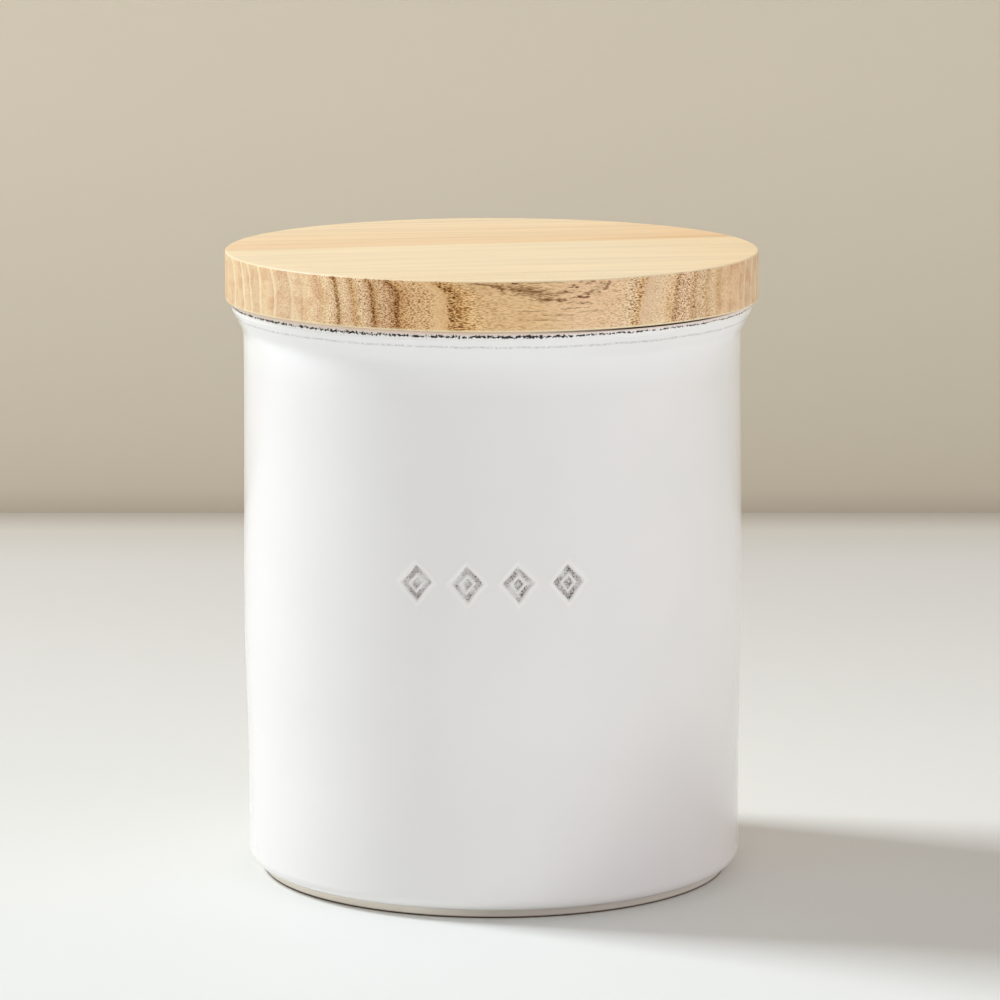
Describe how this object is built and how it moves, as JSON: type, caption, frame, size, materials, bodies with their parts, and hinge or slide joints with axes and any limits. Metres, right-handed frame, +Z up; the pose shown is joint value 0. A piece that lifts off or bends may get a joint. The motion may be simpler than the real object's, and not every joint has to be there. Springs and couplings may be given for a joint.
{
  "type": "lidded salt keeper",
  "caption": "Round stoneware salt keeper with a rolled lip and foot ring, closed by a flat wooden lid whose gasketed plug lifts straight out of the mouth.",
  "frame": {"origin": "centre of the ring the jar stands on", "axes": "+Z up along the jar's axis, -Y towards the front with the pressed marks, +X to the right as seen from the front"},
  "size_m": [0.108, 0.108, 0.1275],
  "materials": {
    "glazed_stoneware": "glossy white glaze, thin on the rim, with dark breaks along the lip and unglazed cream clay on the foot",
    "ash_board": "satin clear finish on pale ring-porous board",
    "ash_plug": "bare sanded wood",
    "silicone": "matte translucent white silicone"
  },
  "bodies": {
    "jar": {"jar": "glazed_stoneware"},
    "seal": {"lid_gasket": "silicone"},
    "lid": {"lid_disc": "ash_board", "lid_plug": "ash_plug"}
  },
  "joints": [
    {"name": "lid_lift", "type": "slide", "parent": "jar", "child": "seal", "axis": [0, 0, 1], "range_m": [0, 0.06]},
    {"name": "lid_turn", "type": "hinge", "parent": "seal", "child": "lid", "pos_m": [0, 0, 0.1176], "axis": [0, 0, 1], "continuous": true}
  ]
}
